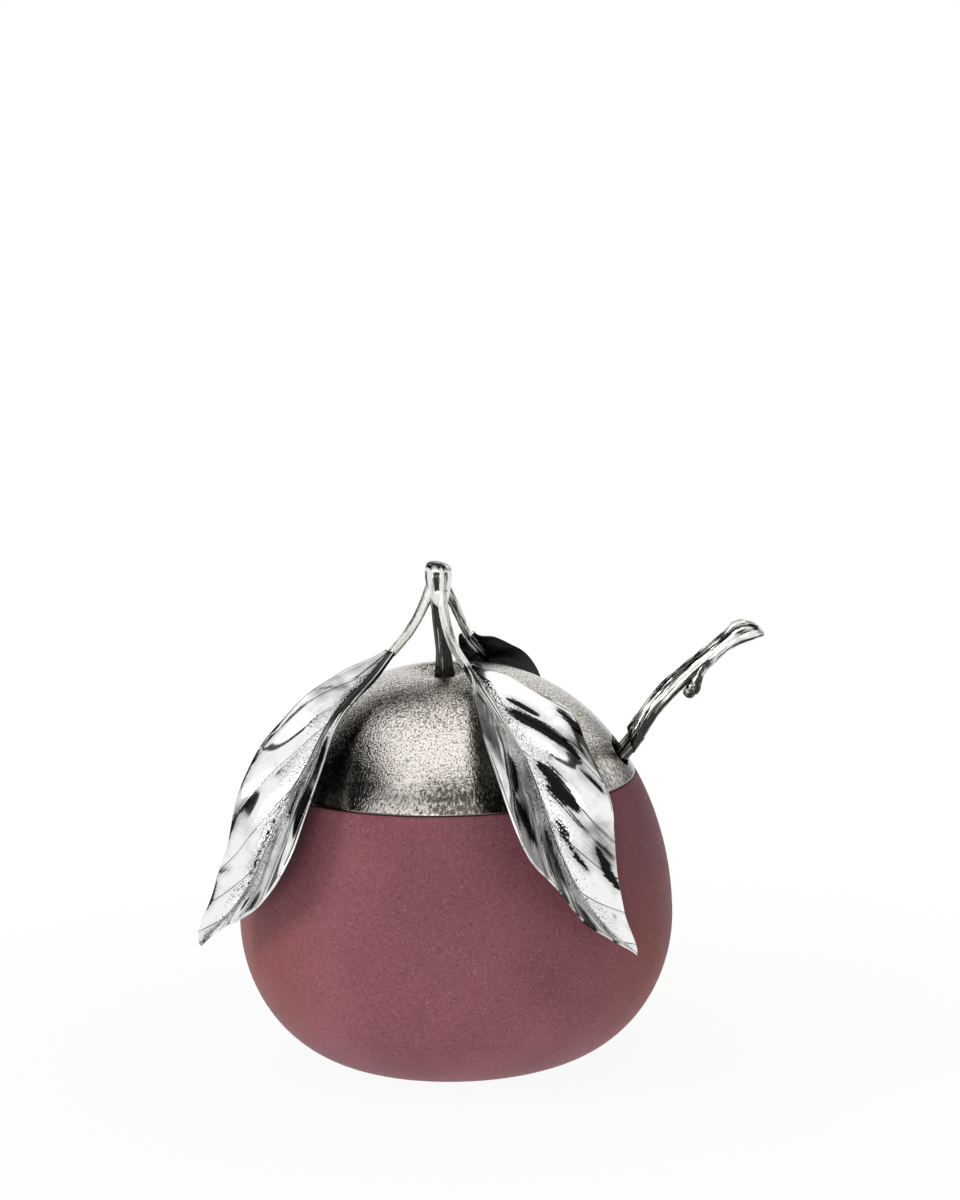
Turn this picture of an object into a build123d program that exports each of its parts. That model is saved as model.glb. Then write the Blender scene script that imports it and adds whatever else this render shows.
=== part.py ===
"""Jam pot shaped like a fruit: glazed pot, silver lid with a stem and three leaves, twig-handled spoon.

Millimetres, +Z up. The origin is the centre of the foot, on the table. The spoon lies towards +X.
"""
import os
from math import asin, atan2, cos, degrees, pi, radians, sin, sqrt

from build123d import *

os.makedirs("parts", exist_ok=True)

# Fruit form: a quarter ellipse from the foot to the waist, another from the waist to the crown
fruit_radius = 52.5
waist_height = 35.3
foot_radius = 21.3
crown_radius = 5.7
crown_height = 95.9
parting_height = 69.4

# Pot
pot_wall = 4.2
pot_floor = 5.5
floor_radius = 19.0
rim_outer_round = 0.7
rim_inner_round = 0.6

# Lid shell, its dimple and the ring that keeps it in the mouth
lid_wall = 1.5
lid_edge_round = 0.45
dimple_radius = 9.2
dimple_depth = 3.2
dimple_lip_round = 5.0
collar_wall = 1.2
collar_flange = 1.2
collar_depth = 6.0
collar_mouth_clearance = 0.5
collar_shell_clearance = 0.1
collar_rest_clearance = 0.2

# Stem: a twig on the dimple's floor with a threaded tail below the shell
stem_offset = -2.2
stem_radius = 1.95
stem_base_radius = 2.7
stem_top_height = 121.8
knob_radius = 2.9
knob_length = 8.2
knob_neck_length = 3.0
knob_edge_round = 0.6
tail_radius = 1.5
tail_hole_clearance = 0.2
tail_end_length = 1.0
stem_seat_radius = 3.2
washer_radius = 4.2
washer_thickness = 0.8
nut_across_flats = 5.5
nut_thickness = 2.4

# Leaves
petiole_radius = 1.15
leaf_thickness = 1.2
leaf_base_half_width = 1.7
leaf_tip_half_width = 0.7
leaf_fold = 24.0
leaf_skyward_lean = 0.6

# Spoon: the shank's axis leans in a plane beside the fruit's axis, from the port in the dome to the
# bowl's middle, where the bowl's back lies just above the pot's floor
spoon_side = -3.5
port_above_parting = 5.4
bowl_place = -5.76
shank_radius = 2.1
port_width = 13.0
port_height = 6.6
port_seat_clearance = 0.3
port_cut_length = 24.0
bowl_half_length = 20.0
bowl_round_radius = 13.0
bowl_raise = 5.0
bowl_wall = 1.2
bowl_floor_clearance = 0.35
slope_rounds = 12
twig_start = 6.0
twig_straight = 20.0
twig_bend_radius = 70.0
twig_length = 43.0
twig_radius = 2.1
twig_end_radius = 3.1
twig_end_length = 5.0
bud_place = 26.0
bud_length = 6.6
bud_radius = 0.95
bud_end_radius = 1.2

# Values that follow from the fruit form
lower_run = fruit_radius - foot_radius
upper_run = fruit_radius - crown_radius
upper_rise = crown_height - waist_height


def shell_radius(height, inset):
    """Radius, at a height above the waist, of the fruit's upper form drawn in by a wall."""
    share = (height - waist_height) / (upper_rise - inset)
    return crown_radius + (upper_run - inset) * sqrt(1 - share**2)


def shell_angle(height, inset):
    """Ellipse angle of the fruit's upper form at a height, drawn in by a wall."""
    return degrees(asin((height - waist_height) / (upper_rise - inset)))


rim_radius = shell_radius(parting_height, 0)
mouth_radius = shell_radius(parting_height, pot_wall)
waist_centre = (crown_radius, waist_height)
foot_centre = (foot_radius, waist_height)

# Pot body, turned about the fruit's axis
with BuildPart() as pot_body:
    with BuildSketch(Plane.XZ):
        with BuildLine():
            Polyline((0, pot_floor), (0, 0), (foot_radius, 0))
            EllipticalCenterArc(foot_centre, lower_run, waist_height, -90, arc_size=90)
            EllipticalCenterArc(
                waist_centre, upper_run, upper_rise, arc_size=shell_angle(parting_height, 0)
            )
            Line((rim_radius, parting_height), (mouth_radius, parting_height))
            EllipticalCenterArc(
                waist_centre,
                upper_run - pot_wall,
                upper_rise - pot_wall,
                arc_size=shell_angle(parting_height, pot_wall),
            )
            EllipticalCenterArc(
                (floor_radius, waist_height),
                fruit_radius - pot_wall - floor_radius,
                waist_height - pot_floor,
                -90,
                arc_size=90,
            )
            Line((floor_radius, pot_floor), (0, pot_floor))
        make_face()
    revolve(axis=Axis.Z)
    rim_edges = pot_body.edges().filter_by(GeomType.CIRCLE).group_by(Axis.Z)[-1].sort_by(SortBy.RADIUS)
    fillet(rim_edges[-1], rim_outer_round)
    rim_edges = pot_body.edges().filter_by(GeomType.CIRCLE).group_by(Axis.Z)[-1].sort_by(SortBy.RADIUS)
    fillet(rim_edges[0], rim_inner_round)

pot_body.part.label = "pot_body"
export_step(pot_body.part, "parts/pot_body.step")

# The port in the dome, and the slope at which the bowl's back comes down to the floor
spoon_port_height = parting_height + port_above_parting
port_reach = sqrt(shell_radius(spoon_port_height, 0) ** 2 - spoon_side**2)
port_point = Vector(port_reach, spoon_side, spoon_port_height)
bowl_height = pot_floor + bowl_round_radius
for _ in range(slope_rounds):
    slope = atan2(spoon_port_height - bowl_height, port_reach - bowl_place)
    bowl_drop = sqrt((bowl_half_length * sin(slope)) ** 2 + (bowl_round_radius * cos(slope)) ** 2)
    bowl_height = pot_floor + bowl_floor_clearance + bowl_drop - bowl_raise * cos(slope)

# The spoon's axis from the port outwards, and the direction across it
spoon_out = Vector(cos(slope), 0, sin(slope))
spoon_up = Vector(-sin(slope), 0, cos(slope))
port_shift = port_height / 2 - shank_radius - port_seat_clearance
port_plane = Plane(port_point + spoon_up * port_shift, x_dir=(0, 1, 0), z_dir=spoon_out)

# Oval passage for the spoon, cut square to its axis through the dome and the ring
with BuildPart() as spoon_passage:
    with BuildSketch(port_plane):
        SlotOverall(port_width, port_height)
    extrude(amount=port_cut_length / 2, both=True)

# Dimple round the stem: a ball cut off-centre, level with the crown at the dimple's radius
dimple_ball_radius = (dimple_radius**2 + dimple_depth**2) / (2 * dimple_depth)
dimple_floor_height = crown_height - dimple_depth
dimple_ball_centre = (stem_offset, 0, dimple_floor_height + dimple_ball_radius)

# Space under the lid, with the dimple standing down into it
with BuildPart() as lid_hollow:
    with BuildSketch(Plane.XZ):
        with BuildLine():
            hollow_top = waist_height + upper_rise - lid_wall
            hollow_edge = shell_radius(parting_height, lid_wall)
            EllipticalCenterArc(
                waist_centre,
                upper_run - lid_wall,
                upper_rise - lid_wall,
                90,
                arc_size=shell_angle(parting_height, lid_wall) - 90,
            )
            Polyline(
                (crown_radius, hollow_top),
                (0, hollow_top),
                (0, parting_height),
                (hollow_edge, parting_height),
            )
        make_face()
    revolve(axis=Axis.Z)
    with Locations(dimple_ball_centre):
        Sphere(dimple_ball_radius + lid_wall, mode=Mode.SUBTRACT)

# Lid shell
with BuildPart() as lid_dome:
    with BuildSketch(Plane.XZ):
        with BuildLine():
            EllipticalCenterArc(
                waist_centre, upper_run, upper_rise, 90, arc_size=shell_angle(parting_height, 0) - 90
            )
            Polyline(
                (crown_radius, crown_height),
                (0, crown_height),
                (0, parting_height),
                (rim_radius, parting_height),
            )
        make_face()
    revolve(axis=Axis.Z)
    with Locations(dimple_ball_centre):
        Sphere(dimple_ball_radius, mode=Mode.SUBTRACT)
    lip_edges = lid_dome.edges().group_by(Axis.Z)[-1]
    fillet(lip_edges, dimple_lip_round)
    fillet(lid_dome.edges().group_by(Axis.Z)[0], lid_edge_round)
    add(lid_hollow.part, mode=Mode.SUBTRACT)
    add(spoon_passage.part, mode=Mode.SUBTRACT)
    with BuildSketch(Plane((stem_offset, 0, dimple_floor_height))):
        Circle(tail_radius + tail_hole_clearance)
    extrude(amount=2 * dimple_depth, both=True, mode=Mode.SUBTRACT)

lid_dome.part.label = "lid_dome"
export_step(lid_dome.part, "parts/lid_dome.step")

# Locating ring: a flange inside the dome's edge and a wall that hangs in the pot's mouth
collar_outer = mouth_radius - collar_mouth_clearance
flange_bottom = parting_height + collar_rest_clearance
flange_top = flange_bottom + collar_flange
flange_radius = shell_radius(flange_top, lid_wall) - collar_shell_clearance

with BuildPart() as lid_collar:
    with BuildSketch(Plane.XZ):
        with BuildLine():
            Polyline(
                (collar_outer - collar_wall, flange_top),
                (flange_radius, flange_top),
                (flange_radius, flange_bottom),
                (collar_outer, flange_bottom),
                (collar_outer, parting_height - collar_depth),
                (collar_outer - collar_wall, parting_height - collar_depth),
                close=True,
            )
        make_face()
    revolve(axis=Axis.Z)
    add(spoon_passage.part, mode=Mode.SUBTRACT)

lid_collar.part.label = "lid_collar"
export_step(lid_collar.part, "parts/lid_collar.step")

# Each leaf follows one line: three points of its stalk, then its midrib from base to tip. The lines are
# drawn over a fruit of the drawn sizes and stretch with the fruit and the stem.
drawn_sizes = {"fruit_radius": 52.5, "crown_height": 95.9, "stem_top": 121.8, "stem_offset": -2.2}
leaf_lines = {
    "left": [
        (-3.8, 0.1, 116.5),
        (-5.4, -0.9, 112.6),
        (-9.3, -3.4, 106.0),
        (-13.8, -7.2, 101.3),
        (-19.0, -12.5, 96.0),
        (-27.0, -20.0, 89.5),
        (-35.0, -27.0, 77.5),
        (-40.0, -29.5, 69.5),
        (-43.5, -30.0, 61.5),
        (-47.0, -29.0, 53.5),
        (-51.5, -28.0, 46.5),
        (-61.2, -24.0, 35.5),
    ],
    "front": [
        (-1.5, -1.3, 115.0),
        (-1.2, -2.3, 111.0),
        (0.4, -5.6, 104.0),
        (4.1, -14.0, 98.6),
        (7.5, -23.5, 95.0),
        (12.0, -34.0, 89.5),
        (17.0, -43.0, 82.0),
        (21.0, -48.0, 72.0),
        (24.5, -50.0, 61.5),
        (29.5, -49.5, 50.5),
        (35.5, -46.5, 42.0),
        (42.0, -42.0, 35.0),
    ],
    "rear": [
        (-1.4, 0.9, 117.5),
        (0.0, 2.2, 114.0),
        (2.4, 6.2, 108.0),
        (4.6, 12.5, 101.5),
        (7.0, 22.0, 96.5),
        (10.0, 32.5, 90.0),
        (13.0, 41.5, 81.5),
        (16.0, 47.5, 70.5),
        (18.5, 51.0, 60.0),
        (21.0, 53.5, 50.0),
        (23.5, 56.0, 42.5),
        (27.5, 60.0, 35.5),
    ],
}
leaf_turns = {"left": 14.0, "front": 6.0, "rear": 8.0}
stalk_points = 4

# Each half of a blade has its greatest width, a bias of its place (above 1 is nearer the tip) and a
# sharpness (above 1 draws the ends out thin); the half towards local -X comes first
leaf_halves = {
    "left": [(11.4, 1.07, 0.6), (14.8, 1.6, 2.0)],
    "front": [(14.0, 1.03, 1.65), (15.2, 1.0, 0.83)],
    "rear": [(10.0, 0.85, 1.25), (9.0, 1.0, 0.6)],
}


def leaf_point(x, y, z):
    """Point of a leaf's line, brought from the drawn fruit to this one."""
    spread = fruit_radius / drawn_sizes["fruit_radius"]
    drawn_crown = drawn_sizes["crown_height"]
    height = crown_height * z / drawn_crown
    if z > drawn_crown:
        share = (z - drawn_crown) / (drawn_sizes["stem_top"] - drawn_crown)
        height = crown_height + share * (stem_top_height - crown_height)
    return Vector(stem_offset + (x - drawn_sizes["stem_offset"]) * spread, y * spread, height)


def leaf_planes(line, turn):
    """Planes across a leaf's line, with local X across the blade and local Y out of its upper face."""
    points = [leaf_point(*point) for point in line]
    last = len(points) - 1
    planes = []
    for index, point in enumerate(points):
        along = (points[min(index + 1, last)] - points[max(index - 1, 0)]).normalized()
        outward = Vector(point.X - stem_offset, point.Y, 0).normalized() + Vector(0, 0, leaf_skyward_lean)
        outward = outward.rotate(Axis.Z, turn)
        upper = (outward - along * outward.dot(along)).normalized()
        planes.append(Plane(point, x_dir=upper.cross(along), z_dir=along))
    return planes


def half_width(half, share):
    """Width of one half of a blade at a share of its length from base to tip."""
    greatest, bias, sharpness = half
    swell = sin(pi * share**bias) ** sharpness if 0 < share < 1 else 0
    edge = leaf_base_half_width + (leaf_tip_half_width - leaf_base_half_width) * share
    return edge + (greatest * fruit_radius / drawn_sizes["fruit_radius"] - edge) * swell


def make_petiole(side):
    """Leaf stalk, round, from its socket in the stem to the base of the blade."""
    with BuildPart() as petiole:
        for plane in leaf_planes(leaf_lines[side], leaf_turns[side])[:stalk_points]:
            with BuildSketch(plane):
                Circle(petiole_radius)
        loft()
    petiole.part.label = f"petiole_{side}"
    export_step(petiole.part, f"parts/petiole_{side}.step")
    return petiole


def make_leaf(side):
    """Blade folded along its midrib, with both halves raised from it."""
    planes = leaf_planes(leaf_lines[side], leaf_turns[side])[stalk_points - 1 :]
    fold_across = cos(radians(leaf_fold))
    fold_rise = sin(radians(leaf_fold))
    reach = [0.0]
    for before, after in zip(planes, planes[1:]):
        reach.append(reach[-1] + (after.origin - before.origin).length)
    with BuildPart() as leaf:
        for plane, distance in zip(planes, reach):
            low, high = [half_width(half, distance / reach[-1]) for half in leaf_halves[side]]
            top = leaf_thickness / 2
            with BuildSketch(plane):
                with BuildLine():
                    Polyline(
                        (-low * fold_across, low * fold_rise + top),
                        (0, top),
                        (high * fold_across, high * fold_rise + top),
                        (high * fold_across, high * fold_rise - top),
                        (0, -top),
                        (-low * fold_across, low * fold_rise - top),
                        close=True,
                    )
                make_face()
        loft()
    leaf.part.label = f"leaf_{side}"
    export_step(leaf.part, f"parts/leaf_{side}.step")
    return leaf


petioles = [make_petiole(side) for side in leaf_lines]
leaves = [make_leaf(side) for side in leaf_lines]

# Stem: turned twig with a knob, sockets for the stalks and a tail through the dome
stem_axis = Axis((stem_offset, 0, 0), (0, 0, 1))
stem_foot = dimple_ball_centre[2] - sqrt(dimple_ball_radius**2 - stem_seat_radius**2)
washer_top = dimple_ball_centre[2] - dimple_ball_radius - lid_wall
nut_top = washer_top - washer_thickness
tail_bottom = nut_top - nut_thickness - tail_end_length
knob_bottom = stem_top_height - knob_length

with BuildPart() as lid_stem:
    with BuildSketch(Plane((stem_offset, 0, 0), x_dir=(1, 0, 0), z_dir=(0, -1, 0))):
        with BuildLine():
            Polyline(
                (0, tail_bottom),
                (tail_radius, tail_bottom),
                (tail_radius, stem_foot),
                (stem_base_radius, stem_foot),
                (stem_radius, stem_foot + knob_neck_length),
                (stem_radius, knob_bottom - knob_neck_length),
                (knob_radius, knob_bottom),
                (knob_radius, stem_top_height),
                (0, stem_top_height),
                close=True,
            )
        make_face()
    revolve(axis=stem_axis)
    fillet(lid_stem.edges().group_by(Axis.Z)[-1], knob_edge_round)
    for petiole in petioles:
        add(petiole.part, mode=Mode.SUBTRACT)

lid_stem.part.label = "lid_stem"
export_step(lid_stem.part, "parts/lid_stem.step")

# Washer and nut under the dimple
with BuildPart() as stem_washer:
    with BuildSketch(Plane((stem_offset, 0, nut_top))):
        Circle(washer_radius)
        Circle(tail_radius + tail_hole_clearance, mode=Mode.SUBTRACT)
    extrude(amount=washer_thickness)

stem_washer.part.label = "stem_washer"
export_step(stem_washer.part, "parts/stem_washer.step")

with BuildPart() as stem_nut:
    with BuildSketch(Plane((stem_offset, 0, nut_top - nut_thickness))):
        RegularPolygon(nut_across_flats / 2, 6, major_radius=False)
        Circle(tail_radius, mode=Mode.SUBTRACT)
    extrude(amount=nut_thickness)

stem_nut.part.label = "stem_nut"
export_step(stem_nut.part, "parts/stem_nut.step")

# Spoon bowl: the lower part of an egg turned about a line above its rim
bowl_reach = (spoon_port_height - bowl_height) / sin(slope)
bowl_centre = port_point - spoon_out * bowl_reach
bowl_section = Plane(bowl_centre + spoon_up * bowl_raise, x_dir=spoon_out, z_dir=(0, -1, 0))
bowl_axis = Axis(bowl_centre + spoon_up * bowl_raise, spoon_out)
bowl_rim = Plane(bowl_centre, x_dir=spoon_out, z_dir=spoon_up)

with BuildPart() as bowl_form:
    with BuildSketch(bowl_section):
        with BuildLine():
            EllipticalCenterArc((0, 0), bowl_half_length, bowl_round_radius, 180, arc_size=180)
            Line((bowl_half_length, 0), (-bowl_half_length, 0))
        make_face()
    revolve(axis=bowl_axis)

with BuildPart() as spoon_bowl:
    add(bowl_form.part)
    with BuildSketch(bowl_section):
        with BuildLine():
            EllipticalCenterArc(
                (0, 0), bowl_half_length - bowl_wall, bowl_round_radius - bowl_wall, 180, arc_size=180
            )
            Line((bowl_half_length - bowl_wall, 0), (bowl_wall - bowl_half_length, 0))
        make_face()
    revolve(axis=bowl_axis, mode=Mode.SUBTRACT)
    split(bisect_by=bowl_rim, keep=Keep.BOTTOM)

spoon_bowl.part.label = "spoon_bowl"
export_step(spoon_bowl.part, "parts/spoon_bowl.step")

# Shank: a rod from the twig down to the back of the bowl
with BuildPart() as spoon_shank:
    with BuildSketch(Plane(port_point + spoon_out * twig_start, x_dir=(0, 1, 0), z_dir=spoon_out)):
        Circle(shank_radius)
    extrude(amount=-(twig_start + bowl_reach - bowl_half_length / 2))
    add(bowl_form.part, mode=Mode.SUBTRACT)

spoon_shank.part.label = "spoon_shank"
export_step(spoon_shank.part, "parts/spoon_shank.step")


def twig_plane(distance):
    """Plane across the twig at a distance along it from the port, past the bend if need be."""
    turn = max(distance - twig_straight, 0) / twig_bend_radius
    along = min(distance, twig_straight) + twig_bend_radius * sin(turn)
    across = twig_bend_radius * (cos(turn) - 1)
    point = port_point + spoon_out * along + spoon_up * across
    return Plane(point, x_dir=(0, 1, 0), z_dir=spoon_out * cos(turn) - spoon_up * sin(turn))


# Twig handle: round in section, bent near its far end, with a flared cut
twig_stations = [
    (twig_start, twig_radius),
    (twig_straight, twig_radius),
    ((twig_straight + twig_length - twig_end_length) / 2, twig_radius),
    (twig_length - twig_end_length, twig_radius),
    (twig_length, twig_end_radius),
]
with BuildPart() as spoon_twig:
    for distance, radius in twig_stations:
        with BuildSketch(twig_plane(distance)):
            Circle(radius)
    loft()

# Bud: a cut side shoot that points straight down from the twig
bud_root = twig_plane(bud_place).origin
with BuildPart() as spoon_bud:
    with BuildSketch(Plane(bud_root, x_dir=(1, 0, 0), z_dir=(0, 0, -1))):
        Circle(bud_radius)
    with BuildSketch(Plane(bud_root - Vector(0, 0, bud_length), x_dir=(1, 0, 0), z_dir=(0, 0, -1))):
        Circle(bud_end_radius)
    loft()
    add(spoon_twig.part, mode=Mode.SUBTRACT)

spoon_twig.part.label = "spoon_twig"
export_step(spoon_twig.part, "parts/spoon_twig.step")
spoon_bud.part.label = "spoon_bud"
export_step(spoon_bud.part, "parts/spoon_bud.step")
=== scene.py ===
from math import cos, pi, radians, sin

import bpy
import numpy as np
from mathutils import Matrix, Vector, noise


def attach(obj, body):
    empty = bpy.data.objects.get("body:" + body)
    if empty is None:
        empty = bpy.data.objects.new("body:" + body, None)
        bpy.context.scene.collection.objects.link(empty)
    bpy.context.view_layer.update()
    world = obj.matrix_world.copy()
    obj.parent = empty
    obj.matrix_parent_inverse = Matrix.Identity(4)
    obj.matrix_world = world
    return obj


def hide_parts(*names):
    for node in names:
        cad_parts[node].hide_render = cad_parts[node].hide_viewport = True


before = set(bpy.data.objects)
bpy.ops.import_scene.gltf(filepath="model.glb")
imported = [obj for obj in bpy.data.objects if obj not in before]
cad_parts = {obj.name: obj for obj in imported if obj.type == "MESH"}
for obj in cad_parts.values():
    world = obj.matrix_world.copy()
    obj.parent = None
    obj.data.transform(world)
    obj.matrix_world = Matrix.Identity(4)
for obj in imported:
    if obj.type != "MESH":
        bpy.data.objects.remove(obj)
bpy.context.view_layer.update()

# Camera: a long lens a little over a metre in front of the pot and above it, turned slightly about
# its own line of sight, with the pot low in a tall frame.
camera_place = (0.0, -1.068, 0.3115)
camera_pitch = 10.566
camera_yaw = 0.412
camera_roll = 1.44
camera_lens = 135.8
camera_sensor = 36.0
camera_reach = 40.0

camera_data = bpy.data.cameras.new("front_camera")
camera_data.sensor_fit = "VERTICAL"
camera_data.sensor_height = camera_sensor
camera_data.lens = camera_lens
camera_data.clip_end = camera_reach
camera = bpy.data.objects.new("front_camera", camera_data)
bpy.context.scene.collection.objects.link(camera)
camera.matrix_world = (
    Matrix.Translation(camera_place)
    @ Matrix.Rotation(radians(-camera_yaw), 4, "Z")
    @ Matrix.Rotation(radians(90.0 - camera_pitch), 4, "X")
    @ Matrix.Rotation(radians(-camera_roll), 4, "Z")
)
bpy.context.scene.camera = camera
bpy.context.scene.view_settings.view_transform = "Standard"


# Studio: white paper under the pot in a white room, large soft lamps, and dark cards round it that
# only the reflections see.
floor_half = 12.0
paper_grey = (0.90, 0.90, 0.90, 1.0)
room_white = (1.0, 1.0, 1.0, 1.0)
room_light = 0.22
# metres from the pot's middle over which its shadow on the paper fades, how much of the shadow is
# kept, and how much of the light that the paper throws back is its own glow
shadow_near = 0.07
shadow_far = 0.20
shadow_share = 0.07
bounce_share = 0.75


def new_material(name):
    """Material with an empty node tree; returns both."""
    material = bpy.data.materials.new(name)
    material.use_nodes = True
    material.node_tree.nodes.clear()
    return material, material.node_tree


def combine(tree, operation, first, second):
    """Sum, product or the like of two values, each a socket or a number."""
    node = tree.nodes.new("ShaderNodeMath")
    node.operation = operation
    for socket, value in zip(node.inputs, (first, second)):
        if isinstance(value, (int, float)):
            socket.default_value = value
        else:
            tree.links.new(value, socket)
    return node.outputs[0]


def ramp(tree, value, low, high, to_low=0.0, to_high=1.0):
    """Value spread from one span to another, held at the ends."""
    spread = tree.nodes.new("ShaderNodeMapRange")
    spread.inputs["From Min"].default_value = low
    spread.inputs["From Max"].default_value = high
    spread.inputs["To Min"].default_value = to_low
    spread.inputs["To Max"].default_value = to_high
    tree.links.new(value, spread.inputs["Value"])
    return spread.outputs["Result"]


def seen_directly(tree):
    """Socket that is 1 for camera, glossy and transmission rays, and 0 for the light on things."""
    path = tree.nodes.new("ShaderNodeLightPath")
    seen = combine(tree, "MAXIMUM", path.outputs["Is Camera Ray"], path.outputs["Is Glossy Ray"])
    return combine(tree, "MAXIMUM", seen, path.outputs["Is Transmission Ray"])


def end_in_mix(tree, output, share, first, second):
    """Ends a node tree in a mix of two shaders by a share socket."""
    mix = tree.nodes.new("ShaderNodeMixShader")
    out = tree.nodes.new(output)
    tree.links.new(share, mix.inputs["Fac"])
    tree.links.new(first.outputs[0], mix.inputs[1])
    tree.links.new(second.outputs[0], mix.inputs[2])
    tree.links.new(mix.outputs[0], out.inputs["Surface"])


def flat_sheet(name, corners, finish):
    """Four-cornered sheet that belongs to the studio and not to the pot."""
    mesh = bpy.data.meshes.new(name)
    mesh.from_pydata(corners, [], [(0, 1, 2, 3)])
    mesh.materials.append(finish)
    sheet = bpy.data.objects.new(name, mesh)
    bpy.context.scene.collection.objects.link(sheet)
    return sheet


paper, paper_tree = new_material("white_paper")
paper_matt = paper_tree.nodes.new("ShaderNodeBsdfDiffuse")
paper_matt.inputs["Color"].default_value = paper_grey
paper_glow = paper_tree.nodes.new("ShaderNodeEmission")
paper_glow.inputs["Strength"].default_value = 1.0
paper_place = paper_tree.nodes.new("ShaderNodeTexCoord").outputs["Object"]
paper_reach = paper_tree.nodes.new("ShaderNodeVectorMath")
paper_reach.operation = "LENGTH"
paper_tree.links.new(paper_place, paper_reach.inputs[0])
paper_fade = ramp(paper_tree, paper_reach.outputs["Value"], shadow_near, shadow_far, 1.0 - shadow_share)
paper_share = combine(paper_tree, "MULTIPLY", paper_fade, seen_directly(paper_tree))
paper_share = combine(paper_tree, "MAXIMUM", paper_share, bounce_share)
end_in_mix(paper_tree, "ShaderNodeOutputMaterial", paper_share, paper_matt, paper_glow)

floor_corners = [
    (-floor_half, -floor_half, 0.0),
    (floor_half, -floor_half, 0.0),
    (floor_half, floor_half, 0.0),
    (-floor_half, floor_half, 0.0),
]
flat_sheet("paper_floor", floor_corners, paper)

# name, grey level and corners of each card: dark walls round the pot and over the top lamp, open
# towards the camera
cards = [
    ("top_card", 0.05, [(-1.20, -1.20, 1.53), (0.75, -1.20, 1.53), (0.75, 1.00, 1.53), (-1.20, 1.00, 1.53)]),
    ("back_card", 0.01, [(-1.6, 1.4, 1.15), (0.3, 1.4, 1.15), (0.3, 1.4, 2.80), (-1.6, 1.4, 2.80)]),
    ("left_card", 0.004, [(-1.5, -0.9, 0.45), (-1.5, 1.4, 0.45), (-1.5, 1.4, 3.20), (-1.5, -0.9, 3.20)]),
    ("right_card", 0.14, [(1.5, -0.9, 0.80), (1.5, 0.9, 0.80), (1.5, 0.9, 3.20), (1.5, -0.9, 3.20)]),
    ("right_low_card", 0.40, [(1.5, -0.9, 0.0), (1.5, 0.9, 0.0), (1.5, 0.9, 0.80), (1.5, -0.9, 0.80)]),
    ("rear_right_card", 0.22, [(0.5, 1.4, 0.0), (1.6, 1.4, 0.0), (1.6, 1.4, 0.45), (0.5, 1.4, 0.45)]),
    ("rear_left_card", 0.10, [(-1.6, 1.4, 0.0), (-0.8, 1.4, 0.0), (-0.8, 1.4, 0.30), (-1.6, 1.4, 0.30)]),
]
for card_name, card_level, card_corners in cards:
    card_grey, card_tree = new_material(card_name)
    card_glow = card_tree.nodes.new("ShaderNodeEmission")
    card_glow.inputs["Strength"].default_value = card_level
    card_out = card_tree.nodes.new("ShaderNodeOutputMaterial")
    card_tree.links.new(card_glow.outputs[0], card_out.inputs["Surface"])
    card = flat_sheet(card_name, card_corners, card_grey)
    card.visible_camera = False
    card.visible_diffuse = False
    card.visible_shadow = False

room = bpy.data.worlds.new("white_room")
bpy.context.scene.world = room
room.use_nodes = True
room_tree = room.node_tree
room_tree.nodes.clear()
room_fill = room_tree.nodes.new("ShaderNodeBackground")
room_fill.inputs["Color"].default_value = room_white
room_fill.inputs["Strength"].default_value = room_light
room_seen = room_tree.nodes.new("ShaderNodeBackground")
room_seen.inputs["Color"].default_value = room_white
end_in_mix(room_tree, "ShaderNodeOutputWorld", seen_directly(room_tree), room_fill, room_seen)

# name, place, point it faces, width, depth, watts, and whether the metal mirrors it
soft_lamps = [
    ("top_lamp", (-0.225, -0.10, 1.50), (-0.225, -0.10, 0.0), 1.45, 1.7, 8.7, True),
    ("left_lamp", (-1.55, -0.45, 0.75), (0.0, 0.0, 0.05), 0.6, 0.6, 10.0, False),
    ("front_lamp", (-0.35, -1.50, 0.20), (0.0, 0.0, 0.02), 0.8, 0.4, 7.0, True),
]
for lamp_name, lamp_place, lamp_target, lamp_width, lamp_depth, lamp_watts, lamp_mirrored in soft_lamps:
    lamp_data = bpy.data.lights.new(lamp_name, "AREA")
    lamp_data.shape = "RECTANGLE"
    lamp_data.size = lamp_width
    lamp_data.size_y = lamp_depth
    lamp_data.energy = lamp_watts
    lamp = bpy.data.objects.new(lamp_name, lamp_data)
    bpy.context.scene.collection.objects.link(lamp)
    lamp.location = lamp_place
    lamp.rotation_euler = (Vector(lamp_target) - Vector(lamp_place)).to_track_quat("-Z", "Y").to_euler()
    lamp.visible_camera = False
    lamp.visible_glossy = lamp_mirrored


# Pot: stoneware thrown as a round fruit, under a satin plum glaze with pale and dark flecks and a
# breath of rust towards the foot. It stands on its own flat foot.
glaze_plum = (0.272, 0.098, 0.114, 1.0)
glaze_deep = (0.192, 0.066, 0.079, 1.0)
glaze_rust = (0.245, 0.062, 0.042, 1.0)
# grain of each pattern in the glaze per metre, and how deep its skin is in metres
glaze_cloud_scale = 45.0
glaze_grit_scale = 900.0
glaze_rust_scale = 40.0
glaze_skin_scale = 1500.0
glaze_skin_depth = 0.00006
glaze_cloud_share = 0.55
glaze_grit_share = 0.45
# the rust comes in below these heights and beyond these distances to either side, in metres
glaze_rust_heights = (0.056, 0.034)
glaze_rust_flanks = (0.031, 0.047)
glaze_rust_most = 0.65
# pale and dark flecks: colour, grain per metre, detail, noise where they start and are full, strength
glaze_flecks = [
    ((0.46, 0.30, 0.30, 1.0), 3200.0, 0.0, 0.68, 0.80, 0.48),
    ((0.110, 0.036, 0.044, 1.0), 1500.0, 1.0, 0.36, 0.28, 0.60),
]
glaze_gloss = 0.10
glaze_rough_least = 0.46
glaze_rough_most = 0.60


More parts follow.
